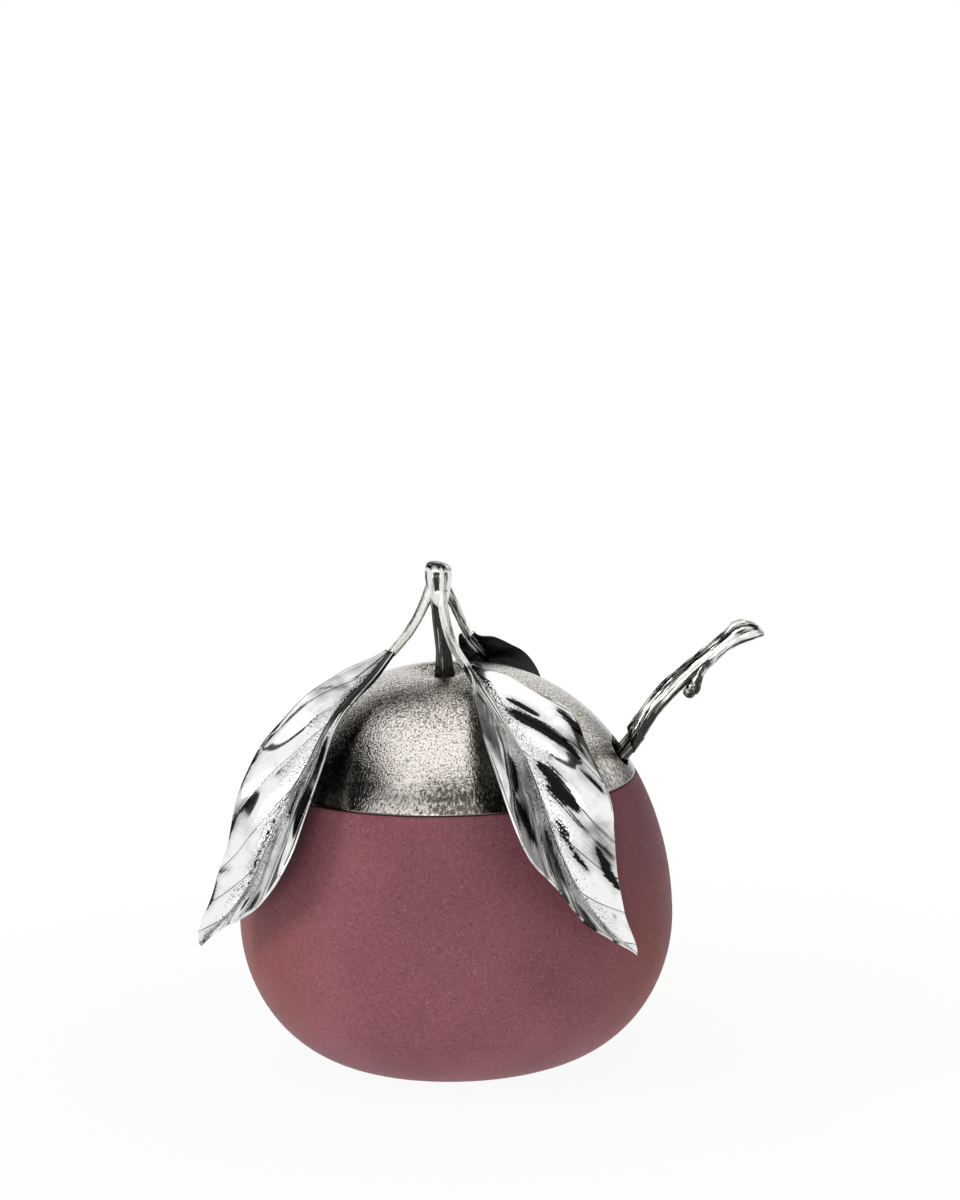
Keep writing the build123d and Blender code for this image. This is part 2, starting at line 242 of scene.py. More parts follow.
def noise_at(tree, place, scale, detail, stretch=None):
    """Noise value over the surface at a scale per metre, stretched along an axis if asked."""
    texture = tree.nodes.new("ShaderNodeTexNoise")
    texture.inputs["Scale"].default_value = scale
    texture.inputs["Detail"].default_value = detail
    if stretch is None:
        tree.links.new(place, texture.inputs["Vector"])
    else:
        mapping = tree.nodes.new("ShaderNodeMapping")
        mapping.inputs["Scale"].default_value = stretch
        tree.links.new(place, mapping.inputs["Vector"])
        tree.links.new(mapping.outputs["Vector"], texture.inputs["Vector"])
    return texture.outputs["Fac"]


def blend_colour(tree, share, first, second):
    """Mix of two colours, each a socket or a fixed colour, by a share socket."""
    mix = tree.nodes.new("ShaderNodeMix")
    mix.data_type = "RGBA"
    tree.links.new(share, mix.inputs["Factor"])
    for socket, colour in ((mix.inputs["A"], first), (mix.inputs["B"], second)):
        if isinstance(colour, tuple):
            socket.default_value = colour
        else:
            tree.links.new(colour, socket)
    return mix.outputs["Result"]


def relief(tree, height, depth, under=None):
    """Surface relief from a height socket, with its depth in metres, over another relief if given."""
    bump = tree.nodes.new("ShaderNodeBump")
    bump.inputs["Strength"].default_value = 1.0
    bump.inputs["Distance"].default_value = depth
    tree.links.new(height, bump.inputs["Height"])
    if under is not None:
        tree.links.new(under, bump.inputs["Normal"])
    return bump.outputs["Normal"]


def dress(node_name, finish):
    """Puts a finish on a piece whose visual is its own solid."""
    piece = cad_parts[node_name]
    piece.data.materials.clear()
    piece.data.materials.append(finish)


glaze, glaze_tree = new_material("plum_glaze")
glaze_place = glaze_tree.nodes.new("ShaderNodeTexCoord").outputs["Object"]
glaze_axes = glaze_tree.nodes.new("ShaderNodeSeparateXYZ")
glaze_tree.links.new(glaze_place, glaze_axes.inputs[0])
glaze_cloud = noise_at(glaze_tree, glaze_place, glaze_cloud_scale, 3.0)
glaze_cloud = ramp(glaze_tree, glaze_cloud, 0.35, 0.65)
glaze_grit = noise_at(glaze_tree, glaze_place, glaze_grit_scale, 2.0)
glaze_grit = ramp(glaze_tree, glaze_grit, 0.35, 0.70)
glaze_cloud = combine(glaze_tree, "MULTIPLY", glaze_cloud, glaze_cloud_share)
glaze_tone = combine(glaze_tree, "MULTIPLY", glaze_grit, glaze_grit_share)
glaze_tone = combine(glaze_tree, "ADD", glaze_cloud, glaze_tone)
glaze_colour = blend_colour(glaze_tree, glaze_tone, glaze_deep, glaze_plum)
glaze_low = ramp(glaze_tree, glaze_axes.outputs["Z"], *glaze_rust_heights)
glaze_flank = combine(glaze_tree, "ABSOLUTE", glaze_axes.outputs["X"], 0.0)
glaze_flank = ramp(glaze_tree, glaze_flank, *glaze_rust_flanks, 0.0, glaze_rust_most)
glaze_low = combine(glaze_tree, "MULTIPLY", glaze_low, glaze_flank)
glaze_rusty = noise_at(glaze_tree, glaze_place, glaze_rust_scale, 2.0)
glaze_rusty = ramp(glaze_tree, glaze_rusty, 0.38, 0.60)
glaze_rusty = combine(glaze_tree, "MULTIPLY", glaze_rusty, glaze_low)
glaze_colour = blend_colour(glaze_tree, glaze_rusty, glaze_colour, glaze_rust)
for colour, scale, detail, start, full, strength in glaze_flecks:
    flecks = noise_at(glaze_tree, glaze_place, scale, detail)
    flecks = ramp(glaze_tree, flecks, start, full, 0.0, strength)
    glaze_colour = blend_colour(glaze_tree, flecks, glaze_colour, colour)
glaze_shader = glaze_tree.nodes.new("ShaderNodeBsdfPrincipled")
glaze_shader.inputs["Specular IOR Level"].default_value = glaze_gloss
glaze_tree.links.new(glaze_colour, glaze_shader.inputs["Base Color"])
glaze_rough = ramp(glaze_tree, glaze_grit, 0.0, 1.0, glaze_rough_least, glaze_rough_most)
glaze_tree.links.new(glaze_rough, glaze_shader.inputs["Roughness"])
glaze_skin = noise_at(glaze_tree, glaze_place, glaze_skin_scale, 2.0)
glaze_tree.links.new(relief(glaze_tree, glaze_skin, glaze_skin_depth), glaze_shader.inputs["Normal"])
glaze_out = glaze_tree.nodes.new("ShaderNodeOutputMaterial")
glaze_tree.links.new(glaze_shader.outputs[0], glaze_out.inputs["Surface"])
dress("pot_body", glaze)


# Lid dome: thin cast silver that completes the fruit, with an orange-peel skin left by the mould and
# upright tool marks along its edge. It rests on the pot's rim.
dome_metal = (0.80, 0.775, 0.735, 1.0)
dome_bright = (0.81, 0.768, 0.712, 1.0)
# dark of the peel's grain and of the painted reflections and shade
dome_dark_grain_and_reflection = (0.150, 0.138, 0.114, 1.0)
dome_peel_scale = 2300.0
dome_mark_scale = 1700.0
dome_mark_stretch = (1.0, 1.0, 0.05)
dome_mark_heights = (0.080, 0.074)
dome_mark_share = 0.8
dome_relief_depth = 0.00009
dome_tones = (0.33, 0.49)
# painted dark reflections on the dome: from and to in metres along X or Z, and how much darker at either end
low_band = (0.0800, 0.0735, 0.0, 0.16)
low_band_left = (-0.010, -0.003)
low_band_right = (0.032, 0.022)
top_band = (0.0850, 0.0900, 0.0, 0.09)
far_flank = (0.014, 0.026, 0.0, 0.10)
far_flank_rise = (0.076, 0.082, 0.9, 1.0)
near_flank = (-0.017, -0.025, 0.0, 0.16)
near_flank_rise = (0.072, 0.080, 0.0, 1.0)
# painted shade on the rounded lip, given the same way by how far its surface faces upwards
lip_facing = (0.32, 0.10, 0.0, 0.40)


def silver(name, colour, rough_least, rough_most, rough_scale):
    """Silver-coloured metal whose roughness varies over the surface; returns its parts for more detail."""
    material, tree = new_material(name)
    place = tree.nodes.new("ShaderNodeTexCoord").outputs["Object"]
    shader = tree.nodes.new("ShaderNodeBsdfPrincipled")
    shader.inputs["Base Color"].default_value = colour
    shader.inputs["Metallic"].default_value = 1.0
    cloud = noise_at(tree, place, rough_scale, 3.0)
    rough = ramp(tree, cloud, 0.35, 0.65, rough_least, rough_most)
    tree.links.new(rough, shader.inputs["Roughness"])
    out = tree.nodes.new("ShaderNodeOutputMaterial")
    tree.links.new(shader.outputs[0], out.inputs["Surface"])
    return material, tree, place, shader


dome_silver, dome_tree, dome_place, dome_shader = silver("grained_silver", dome_metal, 0.12, 0.20, 420.0)
dome_peel = noise_at(dome_tree, dome_place, dome_peel_scale, 2.0)
dome_marks = noise_at(dome_tree, dome_place, dome_mark_scale, 2.0, dome_mark_stretch)
dome_axes = dome_tree.nodes.new("ShaderNodeSeparateXYZ")
dome_tree.links.new(dome_place, dome_axes.inputs[0])
dome_x = dome_axes.outputs["X"]
dome_z = dome_axes.outputs["Z"]
dome_edge = ramp(dome_tree, dome_z, *dome_mark_heights, 0.0, dome_mark_share)
dome_mix = dome_tree.nodes.new("ShaderNodeMix")
dome_tree.links.new(dome_edge, dome_mix.inputs["Factor"])
dome_tree.links.new(dome_peel, dome_mix.inputs["A"])
dome_tree.links.new(dome_marks, dome_mix.inputs["B"])
dome_skin = dome_mix.outputs["Result"]
dome_tree.links.new(relief(dome_tree, dome_skin, dome_relief_depth), dome_shader.inputs["Normal"])
dome_low_reflection = ramp(dome_tree, dome_z, *low_band)
dome_low_reflection = combine(dome_tree, "MULTIPLY", dome_low_reflection, ramp(dome_tree, dome_x, *low_band_left))
dome_low_reflection = combine(dome_tree, "MULTIPLY", dome_low_reflection, ramp(dome_tree, dome_x, *low_band_right))
dome_top_reflection = ramp(dome_tree, dome_z, *top_band)
dome_far_reflection = ramp(dome_tree, dome_x, *far_flank)
dome_far_reflection = combine(dome_tree, "MULTIPLY", dome_far_reflection, ramp(dome_tree, dome_z, *far_flank_rise))
dome_near_reflection = ramp(dome_tree, dome_x, *near_flank)
dome_near_reflection = combine(dome_tree, "MULTIPLY", dome_near_reflection, ramp(dome_tree, dome_z, *near_flank_rise))
dome_normal = dome_tree.nodes.new("ShaderNodeNewGeometry").outputs["Normal"]
dome_facing = dome_tree.nodes.new("ShaderNodeSeparateXYZ")
dome_tree.links.new(dome_normal, dome_facing.inputs[0])
dome_lip_shade = ramp(dome_tree, dome_facing.outputs["Z"], *lip_facing)
# painted reflections and shade darken the dome's grain: a low band, the top, both flanks and the lip
dome_painted_dark = dome_low_reflection
for darkening_part in (dome_top_reflection, dome_far_reflection, dome_near_reflection, dome_lip_shade):
    dome_painted_dark = combine(dome_tree, "MAXIMUM", dome_painted_dark, darkening_part)
dome_tone = combine(dome_tree, "SUBTRACT", dome_skin, dome_painted_dark)
dome_tone = ramp(dome_tree, dome_tone, *dome_tones)
dome_colour = blend_colour(dome_tree, dome_tone, dome_dark_grain_and_reflection, dome_bright)
dome_tree.links.new(dome_colour, dome_shader.inputs["Base Color"])
dress("lid_dome", dome_silver)


# Locating ring, washer and nut: plain turned metal inside the lid. The ring is soldered to the dome
# and keeps it in the pot's mouth, the nut holds the stem.
plain_metal = (0.80, 0.79, 0.77, 1.0)
turning_scale = 500.0
turning_stretch = (1.0, 1.0, 4.0)
turning_depth = 0.00002

plain_silver, plain_tree, plain_place, plain_shader = silver("plain_silver", plain_metal, 0.14, 0.24, 300.0)
plain_lines = noise_at(plain_tree, plain_place, turning_scale, 2.0, turning_stretch)
plain_tree.links.new(relief(plain_tree, plain_lines, turning_depth), plain_shader.inputs["Normal"])
for inner_piece in ("lid_collar", "stem_washer", "stem_nut"):
    dress(inner_piece, plain_silver)


# Stem: a cast twig that stands in the dome's dimple, fluted along its length, with a thick cut end
# that is the lid's handle. A tail goes through the dome to the nut.
millimetre = 0.001
stem_place = -2.2
stem_foot = 93.2
stem_top = 121.8
stem_lean = 1.1
stem_flare = 0.5
stem_flare_height = 8.0
stem_steps = 120
stem_sides = 72
# painted shade on the stem below the knob, as if in the leaves' shadow
stem_painted_shade = 1.5
tail_foot = 87.0
tail_top = stem_foot - 1.0
tail_radius = 1.5
bark_foot = stem_foot - 0.6
# flutes along the stem: length, seed, how close they lie, depth, and how much of it the knob loses
flute_length = 14.0
flute_seed = 3.0
flute_coarse = 1.7
flute_depth = 0.15
knob_flute_loss = 0.11
knob_marks = [110.6, 113.2, 115.2, 118.2, 120.2, 121.0, 121.5, 121.8]
knob_radii = [1.9, 2.55, 2.85, 3.35, 3.25, 2.95, 2.4, 1.5]
knob_cut_height = 3.0
knob_cut_slope = 0.16
# hollows round the knob: degrees round the stem and width in radians, then their ends and depth
knob_hollows = [(-97.0, 0.18), (-50.0, 0.20), (35.0, 0.22), (120.0, 0.24), (200.0, 0.20)]
knob_hollow_foot = (114.6, 115.4)
knob_hollow_top = (119.4, 120.2)
knob_hollow_depth = 0.3
cast_metal = (0.78, 0.765, 0.73, 1.0)
cast_bright = (0.82, 0.80, 0.76, 1.0)
cast_tarnish_and_shade = (0.035, 0.033, 0.03, 1.0)
cast_pit_scale = 1400.0
cast_pit_depth = 0.00005
# lines of the casting, in the measure that mark_grain stores
cast_line_scale = 1.15
cast_line_depth = 0.00030
cast_line_tone = 0.75
grain_around = 2.2
grain_along = 0.08


def stored(tree, name):
    """Node that reads what a mesh keeps on its points under a name."""
    node = tree.nodes.new("ShaderNodeAttribute")
    node.attribute_name = name
    return node


def skin(name, rings, finish):
    """Closed mesh over rings of points in millimetres, each with as many points, capped at both ends."""
    count, around, _ = rings.shape
    faces = []
    for ring in range(count - 1):
        for side in range(around):
            beside = (side + 1) % around
            low = ring * around
            high = low + around
            faces.append((low + side, low + beside, high + beside, high + side))
    faces.append(tuple(reversed(range(around))))
    faces.append(tuple(range((count - 1) * around, count * around)))
    mesh = bpy.data.meshes.new(name)
    mesh.from_pydata((rings.reshape(-1, 3) * millimetre).tolist(), [], faces)
    mesh.polygons.foreach_set("use_smooth", [True] * len(mesh.polygons))
    mesh.materials.append(finish)
    mesh.update()
    piece = bpy.data.objects.new(name, mesh)
    bpy.context.scene.collection.objects.link(piece)
    return piece


def mark_points(piece, name, values):
    """Stores one number per point of a piece, for its finish to read."""
    attribute = piece.data.attributes.new(name, "FLOAT", "POINT")
    attribute.data.foreach_set("value", np.asarray(values, dtype=np.float32).ravel())


def mark_grain(piece, angles, distances):
    """Stores where each point lies round and along a rod, so that its finish runs lengthwise."""
    turns, lengths = np.broadcast_arrays(np.asarray(angles)[None, :], np.asarray(distances)[:, None])
    round_place = (grain_around * np.cos(turns), grain_around * np.sin(turns), grain_along * lengths)
    grain = np.stack(round_place, axis=2)
    attribute = piece.data.attributes.new("grain", "FLOAT_VECTOR", "POINT")
    attribute.data.foreach_set("vector", grain.astype(np.float32).ravel())


def bark(angle, along, seed, coarse):
    """Height of cast bark, from about -1 to 1, drawn out along the twig."""
    around = Vector((cos(angle) * coarse, sin(angle) * coarse, along + seed))
    return noise.noise(around) + 0.5 * noise.noise(around * 2.1)


def smooth_step(value, low, high):
    """0 below low, 1 above high, with an even rise between."""
    share = np.clip((value - low) / (high - low), 0.0, 1.0)
    return share * share * (3.0 - 2.0 * share)


cast_silver, cast_tree, cast_place, cast_shader = silver("cast_silver", cast_metal, 0.10, 0.22, 500.0)
cast_pits = noise_at(cast_tree, cast_place, cast_pit_scale, 2.0)
# the stored darkness is tarnish in grooves and cracks together with painted shade
cast_groove_and_shade = stored(cast_tree, "groove_and_shade").outputs["Fac"]
cast_grain = stored(cast_tree, "grain").outputs["Vector"]
cast_lines = noise_at(cast_tree, cast_grain, cast_line_scale, 3.0)
cast_relief = relief(cast_tree, cast_pits, cast_pit_depth)
cast_relief = relief(cast_tree, cast_lines, cast_line_depth, cast_relief)
cast_tree.links.new(cast_relief, cast_shader.inputs["Normal"])
cast_lines = ramp(cast_tree, cast_lines, 0.3, 0.7, -cast_line_tone, cast_line_tone)
cast_dark = combine(cast_tree, "ADD", cast_groove_and_shade, cast_lines)
cast_dark = ramp(cast_tree, cast_dark, 0.25, 0.75)
cast_colour = blend_colour(cast_tree, cast_dark, cast_bright, cast_tarnish_and_shade)
cast_tree.links.new(cast_colour, cast_shader.inputs["Base Color"])

stem_rings = []
stem_grooves_and_shade = []
stem_heights = np.linspace(bark_foot, stem_top, stem_steps)
stem_heights = np.concatenate(([tail_foot, tail_top], stem_heights))
for height in stem_heights:
    swell = smooth_step(height, knob_marks[0], knob_marks[1])
    flare = stem_flare * (1.0 - smooth_step(height, stem_foot, stem_foot + stem_flare_height))
    radius = np.interp(height, knob_marks, knob_radii) + flare
    middle = stem_place + stem_lean * (1.0 - smooth_step(height, stem_foot, knob_marks[1]))
    if height < bark_foot:
        radius = tail_radius
        middle = stem_place
    top = smooth_step(height, stem_top - knob_cut_height, stem_top)
    ring = []
    for spoke in range(stem_sides):
        angle = 2 * pi * spoke / stem_sides
        flute = bark(angle, height / flute_length, flute_seed, flute_coarse)
        hollow = 0.0
        for hollow_angle, hollow_width in knob_hollows:
            away = (angle - radians(hollow_angle) + pi) % (2 * pi) - pi
            hollow = max(hollow, smooth_step(-abs(away), -1.7 * hollow_width, -0.7 * hollow_width))
        hollow *= smooth_step(height, *knob_hollow_foot) * (1.0 - smooth_step(height, *knob_hollow_top))
        reach = radius * (1.0 + (flute_depth - knob_flute_loss * swell) * flute) - knob_hollow_depth * hollow
        slope = -knob_cut_slope * top * reach * cos(angle)
        ring.append((middle + reach * cos(angle), reach * sin(angle), height + slope))
        # painted shade darkens the stem below the knob, less on its flutes
        painted_shade = (1.0 - swell) * (stem_painted_shade - 0.4 * smooth_step(flute, 0.1, 0.45))
        stem_grooves_and_shade.append(painted_shade + 0.7 * top**3 + hollow - 0.30 * swell * (1.0 - top))
    stem_rings.append(ring)
stem = skin("stem_twig", np.array(stem_rings), cast_silver)
mark_points(stem, "groove_and_shade", stem_grooves_and_shade)
mark_grain(stem, np.linspace(0.0, 2 * pi, stem_sides, endpoint=False), stem_heights)
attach(stem, "lid")
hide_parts("lid_stem")


# Leaf stalks: three drawn and cast rods that leave the knob, bend out over the dome and run on as
# the midribs of the leaves. They are soldered into the stem.
stalk_radius = 1.15
leaf_lines = {
    "left": [
        (-3.8, 0.1, 116.5), (-5.4, -0.9, 112.6), (-9.3, -3.4, 106.0), (-13.8, -7.2, 101.3),
        (-19.0, -12.5, 96.0), (-27.0, -20.0, 89.5), (-35.0, -27.0, 77.5), (-40.0, -29.5, 69.5),
        (-43.5, -30.0, 61.5), (-47.0, -29.0, 53.5), (-51.5, -28.0, 46.5), (-61.2, -24.0, 35.5),
    ],
    "front": [
        (-1.5, -1.3, 115.0), (-1.2, -2.3, 111.0), (0.4, -5.6, 104.0), (4.1, -14.0, 98.6),
        (7.5, -23.5, 95.0), (12.0, -34.0, 89.5), (17.0, -43.0, 82.0), (21.0, -48.0, 72.0),
        (24.5, -50.0, 61.5), (29.5, -49.5, 50.5), (35.5, -46.5, 42.0), (42.0, -42.0, 35.0),
    ],
    "rear": [
        (-1.4, 0.9, 117.5), (0.0, 2.2, 114.0), (2.4, 6.2, 108.0), (4.6, 12.5, 101.5),
        (7.0, 22.0, 96.5), (10.0, 32.5, 90.0), (13.0, 41.5, 81.5), (16.0, 47.5, 70.5),
        (18.5, 51.0, 60.0), (21.0, 53.5, 50.0), (23.5, 56.0, 42.5), (27.5, 60.0, 35.5),
    ],
}
leaf_turns = {"left": 14.0, "front": 6.0, "rear": 8.0}
stalk_end = 3
stalk_steps = 60
stalk_root = 1.15
stalk_taper = 0.95
stalk_ridges = 6
stalk_ridge_depth = 0.03
stalk_groove = 0.4
# painted light and shade on each stalk: below zero lighter, above zero darker
stalk_painted_shade = {"left": -0.35, "front": -0.45, "rear": 0.25}
stalk_grain = 40.0
skyward_lean = 0.6


def flow(points, first, last, count):
    """Smooth line through points, from one point's number to another's, as evenly spaced places."""
    points = np.array(points)
    reach = np.concatenate(([0.0], np.cumsum(np.linalg.norm(np.diff(points, axis=0), axis=1))))
    slopes = np.gradient(points, reach, axis=0)
    wanted = np.linspace(reach[first], reach[last], count)
    index = np.clip(np.searchsorted(reach, wanted, side="right") - 1, 0, len(points) - 2)
    span = (reach[index + 1] - reach[index])[:, None]
    share = (wanted - reach[index])[:, None] / span
    rise = share * share * (3.0 - 2.0 * share)
    start_pull = share * (1.0 - share) ** 2 * span
    end_pull = share * share * (share - 1.0) * span
    between = points[index] * (1.0 - rise) + points[index + 1] * rise
    return between + slopes[index] * start_pull + slopes[index + 1] * end_pull


def unit(vectors):
    """Each vector at length one."""
    return vectors / np.linalg.norm(vectors, axis=-1, keepdims=True)


def leaf_frames(side, first, last, count):
    """Places along a leaf's line with its directions: along, across the blade and out of its upper face."""
    places = flow(leaf_lines[side], first, last, count)
    along = unit(np.gradient(places, axis=0))
    outward = places - np.array([stem_place, 0.0, 0.0])
    outward[:, 2] = 0.0
    outward = unit(outward)
    turn = radians(leaf_turns[side])
    outward = np.stack(
        (
            outward[:, 0] * cos(turn) - outward[:, 1] * sin(turn),
            outward[:, 0] * sin(turn) + outward[:, 1] * cos(turn),
            np.full(count, skyward_lean),
        ),
        axis=1,
    )
    upper = unit(outward - along * np.sum(outward * along, axis=1, keepdims=True))
    return places, along, np.cross(upper, along), upper


def rod(name, line_frames, radii, ridges, ridge_depth, flat=1.0, painted_shade=0.0, groove_tone=0.9):
    """Cast rod with lengthwise ridges, dark grooves and painted shade along it, flatter along its upper
    direction if asked.
    """
    places, _, across, upper = line_frames
    angles = np.linspace(0.0, 2 * pi, 6 * ridges, endpoint=False)
    ridge = np.cos(ridges * angles)
    reach = radii[:, None] * (1.0 + ridge_depth * ridge)
    sideways = (reach * np.cos(angles))[:, :, None] * across[:, None, :]
    upwards = (reach * np.sin(angles) * flat)[:, :, None] * upper[:, None, :]
    piece = skin(name, places[:, None, :] + sideways + upwards, cast_silver)
    groove_and_shade = groove_tone * (1.0 - smooth_step(ridge, -0.9, 0.1)) + np.reshape(painted_shade, (-1, 1))
    mark_points(piece, "groove_and_shade", np.broadcast_to(groove_and_shade, reach.shape))
    mark_grain(piece, angles, np.linspace(0.0, 1.0, len(places)) * stalk_grain)
    return piece


for side in leaf_lines:
    stalk = rod(
        f"stalk_{side}",
        leaf_frames(side, 0, stalk_end, stalk_steps),
        np.linspace(stalk_radius * stalk_root, stalk_radius * stalk_taper, stalk_steps),
        stalk_ridges,
        stalk_ridge_depth,
        painted_shade=stalk_painted_shade[side],
        groove_tone=stalk_groove,
    )
    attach(stalk, "lid")
    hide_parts(f"petiole_{side}")


# Leaves: silver sheet chased from both sides, folded along the midrib, quilted between the side
# veins and wavy at the edge, polished above and darkened below. Each hangs on its stalk.

# greatest width, place of it and sharpness of each half of a blade
leaf_halves = {
    "left": [(11.4, 1.07, 0.6), (14.8, 1.6, 2.0)],
    "front": [(14.0, 1.03, 1.65), (15.2, 1.0, 0.83)],
    "rear": [(10.0, 0.85, 1.25), (9.0, 1.0, 0.6)],
}
# local swellings of the outline: half, share of the length, spread of it, millimetres
leaf_bulges = {
    "left": [(-1, 0.40, 0.10, 1.2)],
    "front": [(1, 0.29, 0.09, 2.6), (-1, 0.70, 0.06, -1.8)],
    "rear": [],
}
leaf_fold = 24.0
leaf_thickness = 1.0
leaf_edge_loss = 0.45
leaf_base_half = 1.7
leaf_tip_half = 0.5
leaf_base_folds = {"left": 18.0, "front": 32.0, "rear": 18.0}
leaf_base_share = 0.22
crease_half = 0.05
belly_depth = 0.08
vein_spacing = 18.5
vein_slant = 2.0
vein_slant_gains = {"left": 0.8, "front": 0.25, "rear": 0.0}
vein_start = 13.5
vein_first = 4.0
# the veins of one half lie this much of their spacing beside those of the other
vein_shift = 0.45
quilt_depth = 0.55
edge_wave = 0.5
sag_length = 9.0
sag_depth = 0.35
hollow_depth = 0.10
far_outside = -9.0
# midribs: radius, its loss to the tip and gain at the stalk, ridges, their depth, flatness, share darkened
# by painted shade
rib_radius = 0.50
rib_taper = 0.25
rib_root = 0.95
rib_ridges = 9
rib_ridge_depth = 0.11
rib_flat = 0.55
rib_shaded_shares = {"left": 0.24, "front": 0.02, "rear": 0.45}
# hollows pressed in and painted black as dark reflections: share of the length and millimetres across at
# either end, then the width
leaf_hollows_and_reflections = {
    "left": [
        (0.28, -10.6, 0.42, -11.6, 0.5), (0.43, -11.9, 0.56, -12.4, 0.8),
        (0.53, -7.6, 0.63, -11.2, 0.6), (0.60, -10.3, 0.76, -11.2, 0.8),
        (0.77, -6.6, 0.82, -9.4, 0.6), (0.80, -9.6, 0.93, -5.0, 1.0),
        (0.24, -10.0, 0.16, -3.0, 0.22), (0.56, -0.8, 0.75, -1.6, 0.5),
        (0.60, 2.6, 0.76, 6.6, 0.25), (0.66, 4.6, 0.80, 8.0, 0.25),
        (0.90, 0.6, 1.00, 0.2, 0.8), (0.00, 0.0, 0.26, 0.0, 1.5),
    ],
    "front": [
        (0.21, 2.4, 0.44, 12.4, 1.6), (0.18, 3.8, 0.29, 8.6, 1.0),
        (0.27, 13.0, 0.39, 15.4, 1.1), (0.40, 2.6, 0.56, 7.6, 1.8),
        (0.46, 2.4, 0.54, 5.0, 0.9), (0.53, 4.5, 0.62, 8.0, 0.5),
        (0.55, 1.8, 0.63, 3.2, 0.9), (0.61, 2.6, 0.72, 4.4, 0.8),
        (0.66, 8.4, 0.84, 8.8, 1.3), (0.45, 11.0, 0.54, 14.6, 0.8),
        (0.26, -7.4, 0.35, -9.8, 1.3), (0.37, -5.0, 0.47, -8.4, 1.6),
        (0.48, -9.6, 0.60, -8.6, 1.4), (0.56, -2.6, 0.72, -4.6, 1.2),
        (0.74, -5.2, 0.84, -5.4, 1.6), (0.86, -1.6, 0.93, -2.6, 0.7),
    ],
    "rear": [
        (0.20, 2.2, 0.36, 8.0, 1.1), (0.42, 2.4, 0.55, 7.0, 1.2),
        (0.62, 1.6, 0.74, 4.6, 0.8), (0.24, -2.4, 0.40, -8.4, 1.2),
        (0.46, -2.2, 0.58, -6.8, 1.0), (0.66, -1.8, 0.80, -3.8, 0.7),
    ],
}
# painted grey shade and reflections, given in the same way
leaf_shades = {
    "left": [(-0.20, -5.0, 0.26, -6.0, 5.0), (0.22, 6.0, 0.85, 9.0, 2.4), (0.55, -9.5, 0.66, -10.5, 2.0)],
    "front": [
        (0.06, -5.0, 0.44, -8.0, 5.0), (0.48, -9.0, 0.88, -6.0, 4.0),
        (0.60, 10.0, 0.74, 11.0, 2.6), (0.36, 12.6, 0.50, 14.6, 2.0),
    ],
    "rear": [(0.06, -5.0, 0.80, -6.0, 4.5), (0.10, 5.0, 0.30, 8.0, 2.5)],
}
leaf_shade_depths = {"left": 0.66, "front": 1.0, "rear": 1.0}
blade_steps = 150
blade_columns = 57

leaf_metal = (0.88, 0.88, 0.87, 1.0)
leaf_bright = (0.90, 0.90, 0.89, 1.0)
leaf_tone_and_shade_grey = (0.34, 0.345, 0.335, 1.0)
leaf_deep_shade_grey = (0.05, 0.05, 0.048, 1.0)
leaf_vein_grey = (0.26, 0.26, 0.25, 1.0)
# black of the painted reflections and of the pits
leaf_reflection_and_pit_black = (0.012, 0.012, 0.012, 1.0)
leaf_grain_scale = 1500.0
leaf_cloud_scale = 260.0
leaf_pit_depth = 0.00035
leaf_line_depth = 0.00010
leaf_line_half = 0.018
# brush marks run along the side veins: how fast they change from vein to vein and across the blade
lie_along = 26.0
lie_across = 3.0
under_metal = (0.045, 0.044, 0.042, 1.0)
under_tint = (0.18, 0.18, 0.18, 1.0)
under_grain_scale = 900.0
under_grain_depth = 0.00008

leaf_silver, leaf_tree, leaf_place, leaf_shader = silver("leaf_silver", leaf_metal, 0.06, 0.13, 160.0)
leaf_across = stored(leaf_tree, "across").outputs["Fac"]
leaf_vein = stored(leaf_tree, "vein").outputs["Fac"]
leaf_away = combine(leaf_tree, "ABSOLUTE", leaf_across, 0.0)
leaf_near = ramp(leaf_tree, leaf_away, 0.42, 0.10)
leaf_grain = noise_at(leaf_tree, leaf_place, leaf_grain_scale, 2.0)
leaf_pits = combine(leaf_tree, "MULTIPLY", leaf_grain, leaf_near)
leaf_folded = combine(leaf_tree, "PINGPONG", leaf_vein, 0.5)
leaf_line = ramp(leaf_tree, leaf_folded, 0.0, leaf_line_half)
leaf_part = combine(leaf_tree, "FRACT", leaf_vein, 0.0)
# painted shade on one side of each vein
leaf_vein_shade = ramp(leaf_tree, leaf_part, 0.20, 0.0, 0.0, 0.24)
leaf_reflection_marks = stored(leaf_tree, "hollow").outputs["Fac"]
leaf_shade = stored(leaf_tree, "shade").outputs["Fac"]
leaf_plan = leaf_tree.nodes.new("ShaderNodeCombineXYZ")
leaf_tree.links.new(combine(leaf_tree, "MULTIPLY", leaf_vein, lie_along), leaf_plan.inputs["X"])
leaf_tree.links.new(combine(leaf_tree, "MULTIPLY", leaf_across, lie_across), leaf_plan.inputs["Y"])
leaf_lie = leaf_plan.outputs["Vector"]
leaf_tear = noise_at(leaf_tree, leaf_lie, 0.7, 2.0)
leaf_tear = ramp(leaf_tree, leaf_tear, 0.3, 0.7, -0.45, 0.45)
leaf_pitted = combine(leaf_tree, "ADD", leaf_near, 0.25)
leaf_ragged = ramp(leaf_tree, leaf_grain, 0.3, 0.7, -0.40, 0.40)
leaf_ragged = combine(leaf_tree, "MULTIPLY", leaf_ragged, leaf_pitted)
leaf_ragged = combine(leaf_tree, "ADD", leaf_ragged, leaf_tear)
